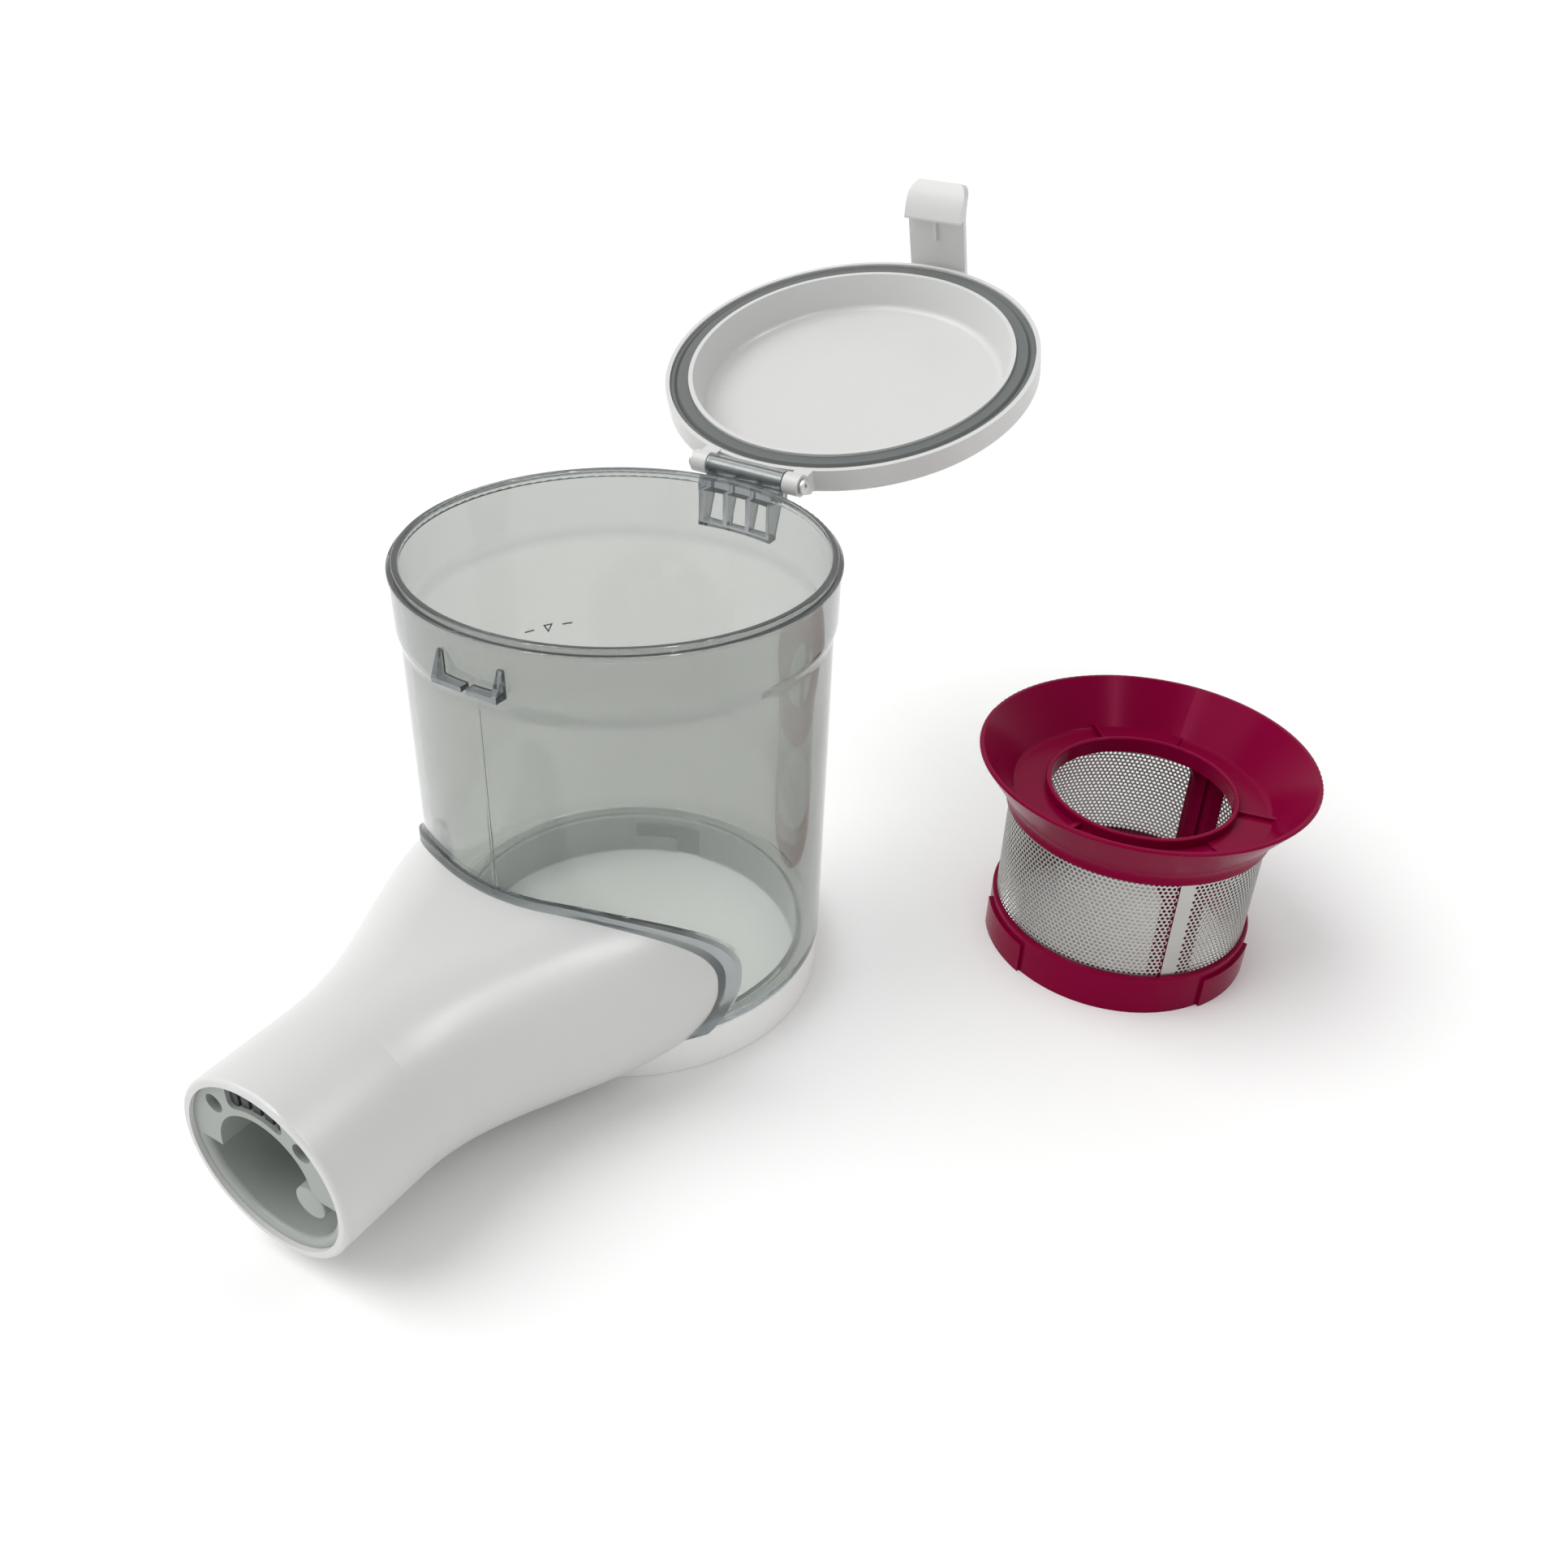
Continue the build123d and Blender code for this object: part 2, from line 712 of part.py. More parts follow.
# Skirt: funnel, flat floor and the raised mouth that a finger lifts it by
with BuildPart() as screen_skirt:
    with BuildSketch(screen_plane) as funnel:
        with BuildLine():
            Polyline(
                (mouth_radius, skirt_floor_under),
                (mouth_radius, skirt_floor + mouth_rise),
                (mouth_radius + mouth_wall, skirt_floor + mouth_rise),
                (mouth_radius + mouth_wall, skirt_floor),
                (band_radius - skirt_wall, skirt_floor),
                (skirt_radius - skirt_wall, skirt_top),
                (skirt_radius, skirt_top),
                (band_radius, skirt_bottom + skirt_band_height),
                (band_radius, skirt_bottom),
                (screen_radius + seat_gap, skirt_bottom),
                (screen_radius + seat_gap, skirt_floor_under),
                close=True,
            )
        make_face()
        rims = corners_near(
            funnel,
            (mouth_radius, skirt_floor + mouth_rise),
            (mouth_radius + mouth_wall, skirt_floor + mouth_rise),
            (skirt_radius, skirt_top),
        )
        fillet(rims, edge_round)
        fillet(corners_near(funnel, (band_radius, skirt_bottom + skirt_band_height)), skirt_round)
        fillet(corners_near(funnel, (band_radius - skirt_wall, skirt_floor)), skirt_wall)
    revolve(axis=screen_axis)
    for index in range(grip_rib_count):
        facing = post_phase + (index + 0.5) * 360 / grip_rib_count
        with BuildSketch(upright_plane(facing - grip_step_arc, screen_x, screen_y)):
            with Locations((mouth_radius + mouth_wall / 2, skirt_floor - skirt_wall / 2)):
                Rectangle(
                    band_radius - skirt_wall - mouth_radius,
                    skirt_wall / 2 + grip_step_height,
                    align=(Align.MIN, Align.MIN),
                )
        revolve(axis=screen_axis, revolution_arc=grip_step_arc)
        spoke = screen_spoke(facing, mouth_radius + mouth_wall / 2, skirt_floor)
        with BuildSketch(spoke):
            Rectangle(grip_rib_width, grip_rib_height, align=(Align.CENTER, Align.MIN))
        extrude(amount=band_radius - mouth_radius - mouth_wall / 2)


# Screen sheet: perforated steel rolled into a drum, seated in the skirt and the base
with BuildPart() as screen_sheet:
    with BuildSketch(Plane(origin=(screen_x, screen_y, base_height - screen_seat))):
        Circle(screen_radius)
        Circle(screen_inner_radius, mode=Mode.SUBTRACT)
    extrude(amount=screen_height + 2 * screen_seat)
    row_pitch = screen_height / window_rows
    window_planes = [
        screen_spoke(
            (column + (row % 2) / 2) * 360 / window_columns,
            screen_inner_radius - screen_thickness,
            base_height + (row + 0.5) * row_pitch,
        )
        for row in range(window_rows)
        for column in range(window_columns)
    ]
    with BuildSketch(*window_planes):
        RegularPolygon(window_radius, 6)
    extrude(amount=3 * screen_thickness, mode=Mode.SUBTRACT)


# Screen base: ring with a seat for the sheet, outer locking lugs and three inner posts
with BuildPart() as screen_base:
    with BuildSketch(screen_plane) as ring:
        with BuildLine():
            Polyline(
                (screen_inner_radius - base_ledge, 0),
                (screen_inner_radius - base_ledge, base_height - screen_seat),
                (screen_radius + seat_gap, base_height - screen_seat),
                (screen_radius + seat_gap, base_height),
                (base_radius, base_height),
                (base_radius, 0),
                close=True,
            )
        make_face()
        fillet(corners_near(ring, (base_radius, base_height)), edge_round)
    revolve(axis=screen_axis)
    for index in range(lug_count):
        facing = lug_phase - lug_arc / 2 + index * 360 / lug_count
        with BuildSketch(upright_plane(facing, screen_x, screen_y)):
            with Locations((screen_radius, 0)):
                Rectangle(base_radius + lug_step - screen_radius, lug_height, align=(Align.MIN, Align.MIN))
        revolve(axis=screen_axis, revolution_arc=lug_arc)

    frame_radius = screen_inner_radius - seat_gap
    with BuildSketch(Plane(origin=(screen_x, screen_y, 0))):
        Circle(frame_radius)
        Circle(frame_radius - frame_wall, mode=Mode.SUBTRACT)
    extrude(amount=skirt_floor_under - seat_gap)
    for index in range(post_count):
        facing = post_phase + (index + 0.5) * 360 / post_count
        with BuildSketch(screen_spoke(facing, 0, base_height)) as arch:
            Rectangle(
                2 * frame_radius * sin(radians(180 / post_count)) - post_width,
                skirt_floor_under - frame_band - base_height,
                align=(Align.CENTER, Align.MIN),
            )
            fillet(arch.vertices().group_by(Axis.Y)[-1], arch_radius)
        extrude(amount=screen_radius, mode=Mode.SUBTRACT)
    for index in range(post_count):
        facing = post_phase + index * 360 / post_count
        with BuildSketch(screen_spoke(facing, frame_radius - frame_wall - post_rib_height, 0)):
            Rectangle(post_rib_width, skirt_floor_under - seat_gap, align=(Align.CENTER, Align.MIN))
        extrude(amount=post_rib_height + frame_wall / 2)


# The lid and its gasket stand open as they rest
pieces = {
    "dust_cup": dust_cup.part,
    "foot_ring": foot_ring.part,
    "inlet_duct": inlet_duct.part,
    "socket_liner": socket_liner.part,
    "liner_screws": liner_screws.part,
    "contact_block": contact_block.part,
    "contact_blades": contact_blades.part,
    "hinge_pin": hinge_pin.part,
    "lid": lid_closed.part.rotate(hinge_axis, lid_open_angle),
    "lid_gasket": gasket_closed.part.rotate(hinge_axis, lid_open_angle),
    "screen_skirt": screen_skirt.part,
    "screen_sheet": screen_sheet.part,
    "screen_base": screen_base.part,
}

os.makedirs("parts", exist_ok=True)
for name, piece in pieces.items():
    piece.label = name
    export_step(piece, f"parts/{name}.step")
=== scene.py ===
"""Looks of a cyclone dust bin: clear cup, white duct and lid, crimson screen with a perforated drum."""

import json
from math import cos, pi, radians, sin, sqrt

import bpy
from mathutils import Euler, Matrix, Vector


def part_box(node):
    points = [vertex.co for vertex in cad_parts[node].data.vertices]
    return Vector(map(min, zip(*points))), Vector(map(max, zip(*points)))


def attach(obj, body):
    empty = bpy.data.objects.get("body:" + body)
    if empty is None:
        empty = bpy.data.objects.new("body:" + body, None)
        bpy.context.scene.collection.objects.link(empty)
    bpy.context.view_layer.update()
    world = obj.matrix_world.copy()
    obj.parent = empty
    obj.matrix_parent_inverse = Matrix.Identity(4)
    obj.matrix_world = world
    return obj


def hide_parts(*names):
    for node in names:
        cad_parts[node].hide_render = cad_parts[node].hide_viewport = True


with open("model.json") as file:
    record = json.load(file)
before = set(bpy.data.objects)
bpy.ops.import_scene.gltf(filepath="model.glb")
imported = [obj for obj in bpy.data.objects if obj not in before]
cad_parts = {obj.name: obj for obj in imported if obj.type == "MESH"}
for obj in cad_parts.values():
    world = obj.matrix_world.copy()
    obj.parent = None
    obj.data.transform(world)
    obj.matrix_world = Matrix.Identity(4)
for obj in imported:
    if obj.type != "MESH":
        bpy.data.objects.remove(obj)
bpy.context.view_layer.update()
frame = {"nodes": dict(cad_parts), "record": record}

MM = 0.001

# Camera, fitted to the photograph's rim, base, duct and screen
CAMERA_PLACE = Vector((-0.2637, -0.2007, 0.2766))
CAMERA_HEADING = radians(29.49)
CAMERA_DIP = radians(33.25)
CAMERA_ROLL = radians(2.38)
CAMERA_NEAR = 0.01
FOCAL_PIXELS = 1703.8
IMAGE_PIXELS = 1932
SENSOR = 36.0

# Studio: pale floor, white surround, wide key light, and strip lights that give highlights only
FLOOR_SIZE = 80.0
FLOOR_COLOUR = (0.93, 0.93, 0.925)
SURROUND_EDGE = 0.96
SURROUND_TOP = 0.68
SURROUND_BEHIND = 0.3
KEY_STRENGTH = 1.8
KEY_SPREAD = radians(50)
KEY_FROM = Vector((-0.4, 0.6, 1.0))
STRIP_AIM = Vector((0.05, -0.06, 0.06))
STRIP_HEADINGS_RISES_AND_POWERS = ((166, 45, 2.2), (238, 43, 2.2), (281, 55, 3.2))
STRIP_DISTANCE = 1.0
STRIP_LENGTH = 0.45
STRIP_WIDTH = 0.06

# Perforated drum: staggered holes, and a plain strip that ends in an open seam
HOLE_PITCH = 1.5 * MM
HOLE_WIDTH = 0.93 * MM
HOLE_ROWS = 26
HOLE_MARGIN = 0.85 * MM
DRUM_SEAT = 2.0 * MM
SHEET_THICKNESS = 0.35 * MM
SEAM_STRIP = 4.2 * MM
SEAM_GAP = 0.3 * MM
SEAM_ANGLE = radians(217.0)
MERGE_DISTANCE = 0.02 * MM
CORNER_TOLERANCE = 0.1

# Places on the cup: shoulder under the collar, bore and its lock slots, saddle bead, rim and hinge bracket
SHOULDER_LEVEL = 112.7 * MM
SHOULDER_SPAN = 3.2 * MM
BORE_RADIUS = 50.3 * MM
BORE_SPAN = 0.6 * MM
BORE_TOP = 14.6 * MM
SLOT_FACE_RADIUS = 51.1 * MM
SLOT_FACE_SPAN = 0.3 * MM
BEAD_RADIUS = 57.3 * MM
BEAD_TOP = 100.0 * MM
RIM_LEVEL = 130.6 * MM
BRACKET_RADIUS = 58.2 * MM

# Clear plastic: tints of one wall, a lighter tint painted on the bore band as painted light, the painted
# shade tint and how far each place takes it, and smoke in the wall's depth
CLEAR_TINT = (0.70, 0.71, 0.672)
BORE_PAINTED_LIGHT_TINT = (0.93, 0.97, 1.0)
PAINTED_SHADE_TINT = (0.38, 0.405, 0.425)
LAMP_TINT = (0.87, 0.885, 0.865)
SHOULDER_PAINTED_SHADE = 0.3
SLOT_FACE_PAINTED_SHADE = 0.6
BEAD_PAINTED_SHADE = 0.8
RIM_PAINTED_SHADE = 0.5
BRACKET_PAINTED_SHADE = 0.9
SMOKE_COLOUR = (0.36, 0.40, 0.45)
SMOKE_DENSITY = 135.0

# Surface of the clear plastic: roughness, its haze, frosted places, and relief of waves and parting line
CLEAR_ROUGHNESS = 0.02
HAZE_SIZE = 18 * MM
HAZE_SWING = 0.05
FROST = 0.3
WAVE_SIZE = 26 * MM
WAVE_MILLIMETRES = 0.035
PARTING_WIDTH = 0.22 * MM
PARTING_MILLIMETRES = 0.05

# Moulded plastic and bare metal: patches, grain, working lines, and their swing in roughness
PATCH_SIZE = 14 * MM
PATCH_SWING = 0.07
GRAIN_SIZE = 0.25 * MM
GRAIN_SWING = 0.03
GRAIN_DEPTH = 0.0015 * MM
DULL_SHARE = 0.86
DULL_SIZE = 9 * MM
DULL_SWING = 0.05
LINE_SIZE = 0.3 * MM
LINE_SWING = 0.08
LINE_DEPTH = 0.004 * MM

# Pieces whose finish differs from the rest of their slot; the foot ring's lighter copy of the white plastic
# is painted light
OWN_FINISHES = {"foot_ring": "bright_plastic"}

# Socket in the tube's end: pad of the key at the liner's face, and ribs between the spring contacts
PAD_SIDE = 13.0 * MM
PAD_DROP = 2.6 * MM
PAD_RADIUS = 4.4 * MM
PAD_DEPTH = 4.1 * MM
PAD_PROUD = 0.1 * MM
PAD_ROUND = 0.35 * MM
SLOT_FLOOR_RADIUS = 16.3 * MM
RIB_COUNT = 5
RIB_PITCH = 3.6 * MM
RIB_WIDTH = 2.5 * MM
RIB_SETBACK = 1.0 * MM
RIB_HEIGHT = 5.4 * MM
RIB_ROUND = 0.15 * MM

# Printed fill mark on the outside of the cup
MARK_ANGLE = radians(60.5)
MARK_LEVEL = 83.5 * MM
MARK_POINTER = 1.9 * MM
MARK_DASH = 3.2 * MM
MARK_LINE = 0.45 * MM
MARK_SPREAD = 6.2 * MM
MARK_INK = 0.03 * MM

SMOOTH_ANGLE = radians(30)


class Shade:
    """A value in a node tree; arithmetic on it adds Math nodes."""

    def __init__(self, tree, socket):
        self.tree = tree
        self.socket = socket

    def math(self, operation, value, other=0.0):
        node = add_node(self.tree, "Math", {"operation": operation}, Value=value, Value_001=other)
        return Shade(self.tree, node.outputs["Value"])

    def __add__(self, other):
        return self.math("ADD", self, other)

    def __sub__(self, other):
        return self.math("SUBTRACT", self, other)

    def __rsub__(self, other):
        return self.math("SUBTRACT", other, self)

    def __mul__(self, other):
        return self.math("MULTIPLY", self, other)

    def __truediv__(self, other):
        return self.math("DIVIDE", self, other)

    def __pow__(self, other):
        return self.math("POWER", self, other)

    __radd__ = __add__
    __rmul__ = __mul__

    def clamp(self, low, high):
        return self.math("MINIMUM", self.math("MAXIMUM", self, low), high)

    def below(self, level):
        """1 below that level, and 0 above it."""
        return self.math("LESS_THAN", self, level)

    def near(self, level, span):
        """1 at that level, falling to 0 at that span from it."""
        return 1 - (self.math("ABSOLUTE", self - level) / span).clamp(0, 1)


def plug(tree, socket, value):
    """Links a shade to a socket, or sets the socket's own value."""
    if isinstance(value, Shade):
        tree.links.new(value.socket, socket)
    elif isinstance(value, tuple) and len(value) == 3 and len(socket.default_value) == 4:
        socket.default_value = (*value, 1)
    else:
        socket.default_value = value


def set_sockets(tree, node, **values):
    """Links or sets a node's sockets, named by identifier with an underscore for each space."""
    sockets = {socket.identifier.replace(" ", "_"): socket for socket in node.inputs}
    for name, value in values.items():
        plug(tree, sockets[name], value)


def add_node(tree, kind, settings=None, **values):
    """A node of that type: its settings are set first, then the values or links of its sockets."""
    node = tree.nodes.new("ShaderNode" + kind)
    for name, value in (settings or {}).items():
        setattr(node, name, value)
    set_sockets(tree, node, **values)
    return node


class Finish:
    """A material with one Principled shader, and a method that adds any other node."""

    def __init__(self, name, **values):
        self.material = bpy.data.materials.new(name)
        self.material.use_nodes = True
        self.tree = self.material.node_tree
        self.tree.nodes.clear()
        self.shader = add_node(self.tree, "BsdfPrincipled", **values)
        self.surface = Shade(self.tree, self.shader.outputs["BSDF"])
        self.output = add_node(self.tree, "OutputMaterial", Surface=self.surface)

    def set(self, **values):
        """Sets or links sockets of the Principled shader."""
        set_sockets(self.tree, self.shader, **values)

    def add(self, kind, output, settings=None, **values):
        """The named output of a new node."""
        node = add_node(self.tree, kind, settings, **values)
        outputs = {socket.identifier: socket for socket in node.outputs}
        return Shade(self.tree, outputs[output])

    def noise(self, size, detail, stretch=(1, 1, 1)):
        """Noise from 0 to 1 with features of about that size, stretched along the axes."""
        place = self.add("TexCoord", "Object")
        scale = tuple(1 / (size * s) for s in stretch)
        place = self.add("Mapping", "Vector", Vector=place, Scale=scale)
        return self.add("TexNoise", "Fac", Vector=place, Scale=1.0, Detail=detail)

    def axes(self):
        """Object coordinates X, Y and Z."""
        node = add_node(self.tree, "SeparateXYZ", Vector=self.add("TexCoord", "Object"))
        return [Shade(self.tree, socket) for socket in node.outputs]

    def bump(self, height, depth):
        """Surface relief of that depth."""
        self.set(Normal=self.add("Bump", "Normal", Height=height, Distance=depth, Strength=1.0))

    def tint(self, factor, low, high):
        """A colour between two others."""
        return self.add("Mix", "Result_Color", {"data_type": "RGBA"},
                        Factor_Float=factor, A_Color=low, B_Color=high)


def clear_plastic():
    """Smoky clear plastic with a fine parting line, darker seen edge on, that lets lamps through; its
    shoulder, slot faces, bead, rim and bracket get painted shade, and its bore band gets painted light.
    """
    finish = Finish("clear_plastic", Transmission_Weight=0.94, IOR=1.5)
    x, y, z = finish.axes()
    radius = (x * x + y * y) ** 0.5
    shoulder = z.near(SHOULDER_LEVEL, SHOULDER_SPAN)
    bore = radius.near(BORE_RADIUS, BORE_SPAN) * z.below(BORE_TOP)
    slot_face = radius.near(SLOT_FACE_RADIUS, SLOT_FACE_SPAN) * z.below(BORE_TOP)
    bead = (1 - radius.below(BEAD_RADIUS)) * z.below(BEAD_TOP)
    rim = 1 - z.below(RIM_LEVEL)
    bracket = (1 - radius.below(BRACKET_RADIUS)) * z.below(RIM_LEVEL)
    # Painted shade: shoulder, slot faces, saddle bead, rim and hinge bracket are mixed towards a darker tint
    painted_shade = (SHOULDER_PAINTED_SHADE * shoulder + SLOT_FACE_PAINTED_SHADE * slot_face + BEAD_PAINTED_SHADE * bead
            + RIM_PAINTED_SHADE * rim + BRACKET_PAINTED_SHADE * bracket).clamp(0, 1)
    # Painted light: the bore band takes a lighter tint than the rest of the wall
    clear = finish.tint(bore, CLEAR_TINT, BORE_PAINTED_LIGHT_TINT)
    finish.set(Base_Color=finish.tint(painted_shade, clear, PAINTED_SHADE_TINT))
    haze = finish.noise(HAZE_SIZE, detail=3.0, stretch=(1, 1, 2.5))
    finish.set(Roughness=CLEAR_ROUGHNESS + HAZE_SWING * haze + FROST * slot_face + FROST * bead)
    parting = y.near(0, PARTING_WIDTH) * z.below(SHOULDER_LEVEL)
    waves = finish.noise(WAVE_SIZE, detail=1.0)
    finish.bump(WAVE_MILLIMETRES * waves + PARTING_MILLIMETRES * parting, MM)
    smoke = finish.add("VolumeAbsorption", "Volume", Color=SMOKE_COLOUR, Density=SMOKE_DENSITY)
    from_lamp = finish.add("LightPath", "Is Shadow Ray")
    let_through = finish.add("BsdfTransparent", "BSDF", Color=LAMP_TINT)
    surface = finish.add("MixShader", "Shader", Fac=from_lamp, Shader=finish.surface, Shader_001=let_through)
    set_sockets(finish.tree, finish.output, Surface=surface, Volume=smoke)
    return finish.material


def moulded(name, low, high, roughness, **values):
    """Moulded plastic: two near colours in soft patches, a fine grain and an uneven gloss."""
    finish = Finish(name, **values)
    patches = finish.noise(PATCH_SIZE, detail=4.0)
    grain = finish.noise(GRAIN_SIZE, detail=1.0)
    finish.set(Base_Color=finish.tint(patches, low, high))
    finish.set(Roughness=roughness + PATCH_SWING * (patches - 0.5) + GRAIN_SWING * (grain - 0.5))
    finish.bump(grain, GRAIN_DEPTH)
    return finish.material


def metal(name, colour, roughness, stretch):
    """Bare metal with dull patches and fine lines along its working direction."""
    finish = Finish(name, Metallic=1.0)
    lines = finish.noise(LINE_SIZE, detail=3.0, stretch=stretch)
    patches = finish.noise(DULL_SIZE, detail=3.0)
    dull = tuple(DULL_SHARE * c for c in colour)
    finish.set(Base_Color=finish.tint(patches, dull, colour))
    finish.set(Roughness=roughness + LINE_SWING * (lines - 0.5) + DULL_SWING * (patches - 0.5))
    finish.bump(lines, LINE_DEPTH)
    return finish.material


def finishes():
    """Every material, by the record's slot or by its own name."""
    return {
        "clear_plastic": clear_plastic(),
        "white_plastic": moulded("white_plastic", (0.605, 0.608, 0.597), (0.62, 0.623, 0.612), 0.32),
        # Painted light: a lighter copy of the white plastic, used on the foot ring
        "bright_plastic": moulded("bright_plastic", (0.84, 0.84, 0.83), (0.86, 0.86, 0.85), 0.32),
        "grey_plastic": moulded("grey_plastic", (0.30, 0.325, 0.303), (0.32, 0.345, 0.323), 0.45),
        "dark_plastic": moulded("dark_plastic", (0.028, 0.03, 0.033), (0.04, 0.042, 0.046), 0.5),
        "gasket_rubber": moulded("gasket_rubber", (0.108, 0.118, 0.116), (0.122, 0.132, 0.13), 0.55),
        "crimson_plastic": moulded("crimson_plastic", (0.19, 0.0004, 0.028), (0.202, 0.0006, 0.032), 0.22,
                                   Specular_IOR_Level=0.09, Specular_Tint=(1.0, 0.2, 0.4)),
        "perforated_steel": metal("perforated_steel", (0.48, 0.477, 0.46), 0.345, (12, 12, 1)),
        "steel": metal("steel", (0.6, 0.6, 0.6), 0.345, (1, 14, 1)),
        "contact_metal": metal("contact_metal", (0.62, 0.6, 0.55), 0.355, (14, 1, 1)),
    }


def deselect():
    """Leaves object mode with nothing selected."""
    if bpy.context.object and bpy.context.object.mode != "OBJECT":
        bpy.ops.object.mode_set(mode="OBJECT")
    bpy.ops.object.select_all(action="DESELECT")


def apply_modifier(piece, kind, **settings):
    """Adds a modifier with those settings and applies it."""
    modifier = piece.modifiers.new(kind.title(), kind)
    for name, value in settings.items():
        setattr(modifier, name, value)
    bpy.context.view_layer.objects.active = piece
    bpy.ops.object.modifier_apply(modifier=modifier.name)


def select_points(piece, wanted):
    """In edit mode, selects the points for which wanted is true."""
    bpy.ops.mesh.select_all(action="DESELECT")
    bpy.ops.object.mode_set(mode="OBJECT")
    for point in piece.data.vertices:
        point.select = wanted(point.co)
    bpy.ops.object.mode_set(mode="EDIT")


def extend_edge(piece, along, place, wanted):
    """Draws the wanted edge of the flat sheet out to a straight line at that place along an axis."""
    select_points(piece, wanted)
    bpy.ops.mesh.extrude_edges_move()
    flat = [1, 1, 1]
    flat[along] = 0
    centre = [0, 0, 0]
    centre[along] = place
    bpy.ops.transform.resize(value=flat, center_override=centre)


def roll_sheet(sheet, radius, thickness, middle, place):
    """Bends a flat upright sheet to a radius, thickens it inwards and sets its axis and middle angle."""
    apply_modifier(sheet, "SIMPLE_DEFORM", deform_method="BEND", deform_axis="Z",
                   angle=sheet.dimensions.x / radius)
    apply_modifier(sheet, "SOLIDIFY", thickness=thickness, offset=-1)
    sheet.location = (0, -radius, 0)
    bpy.ops.object.transform_apply(location=True)
    sheet.rotation_euler = (0, 0, middle + pi / 2)
    sheet.location = place
    bpy.ops.object.transform_apply(location=True, rotation=True)


def finish_piece(piece, material):
    """Smooths a finished piece, gives it its material and slot, and lets it ride on the bin."""
    bpy.ops.object.shade_smooth_by_angle(angle=SMOOTH_ANGLE)
    piece.data.materials.append(material)
    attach(piece, "bin")


def perforated_drum(material):
    """Steel sheet with staggered holes, rolled into the drum of the screen."""
    low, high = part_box("screen_sheet")
    axis = (low + high) / 2
    radius = (high.x - low.x) / 2
    around = 2 * pi * radius - SEAM_GAP
    columns = round((around - SEAM_STRIP) / HOLE_PITCH)
    pitch = (around - SEAM_STRIP) / (columns + 0.5)
    cell = pitch / sqrt(3)
    row_step = 1.5 * cell

    # One cell of six sides with its hole, repeated over the rows and columns
    deselect()
    bpy.ops.mesh.primitive_circle_add(vertices=6, radius=cell, fill_type="NGON")
    sheet = bpy.context.object
    sheet.name = "perforated_drum"
    bpy.ops.object.mode_set(mode="EDIT")
    bpy.ops.mesh.select_mode(type="FACE")
    bpy.ops.mesh.select_all(action="SELECT")
    bpy.ops.mesh.inset(thickness=(pitch - HOLE_WIDTH) / 2)
    bpy.ops.mesh.delete(type="FACE")
    bpy.ops.object.mode_set(mode="OBJECT")
    joined = {"fit_type": "FIXED_COUNT", "use_relative_offset": False, "use_constant_offset": True,
              "use_merge_vertices": True, "merge_threshold": MERGE_DISTANCE}
    for count, offset in ((2, (pitch / 2, row_step, 0)), (columns, (pitch, 0, 0)),
                          (HOLE_ROWS // 2, (0, 2 * row_step, 0))):
        apply_modifier(sheet, "ARRAY", count=count, constant_offset_displace=offset, **joined)

    # Plain strip beside the seam, and plain margins below and above the holes
    last_row = (HOLE_ROWS - 1) * row_step
    first_row = DRUM_SEAT + HOLE_MARGIN
    left = -pitch / 2 - SEAM_STRIP
    right = columns * pitch
    top = high.z - low.z - first_row
    outline = 0.4 * cell

    def cell_corner(co):
        """Corners of the cells lie on half steps of the cell's size, and those of the holes between them."""
        steps = 2 * co.y / cell
        return abs(steps - round(steps)) < CORNER_TOLERANCE

    def within_rows(co):
        return cell_corner(co) and -row_step / 2 < co.y < last_row + row_step / 2

    bpy.ops.object.mode_set(mode="EDIT")
    bpy.ops.mesh.select_mode(type="VERT")
    bpy.ops.mesh.select_all(action="SELECT")
    bpy.ops.mesh.remove_doubles(threshold=MERGE_DISTANCE)
    extend_edge(sheet, 0, left, lambda co: within_rows(co) and co.x < pitch / 4)
    extend_edge(sheet, 1, -first_row, lambda co: cell_corner(co) and co.y < -outline)
    extend_edge(sheet, 1, top, lambda co: cell_corner(co) and co.y > last_row + outline)
    bpy.ops.object.mode_set(mode="OBJECT")

    sheet.location = (-(left + right) / 2, 0, first_row)
    sheet.rotation_euler = (pi / 2, 0, 0)
    bpy.ops.object.transform_apply(location=True, rotation=True)
    roll_sheet(sheet, radius, SHEET_THICKNESS, SEAM_ANGLE + pi, (axis.x, axis.y, low.z))
    finish_piece(sheet, material)
    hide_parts("screen_sheet")


def key_pad(material):
    """Round key of the wand socket, brought forward to the liner's face."""
    low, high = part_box("socket_liner")
    axis = (low + high) / 2
    front = low.x - PAD_PROUD
    middle = front + PAD_DEPTH / 2
    deselect()
    bpy.ops.mesh.primitive_cylinder_add(vertices=64, radius=PAD_RADIUS, depth=PAD_DEPTH,
                                        location=(middle, axis.y - PAD_SIDE, axis.z - PAD_DROP),
                                        rotation=(0, pi / 2, 0))
    pad = bpy.context.object
    pad.name = "key_pad"
    bpy.ops.object.transform_apply()
    bpy.ops.object.mode_set(mode="EDIT")
    bpy.ops.mesh.select_mode(type="VERT")
    select_points(pad, lambda co: co.x < middle)
    bpy.ops.mesh.select_mode(type="EDGE")
    bpy.ops.mesh.bevel(offset=PAD_ROUND, segments=3)
    bpy.ops.object.mode_set(mode="OBJECT")
    finish_piece(pad, material)


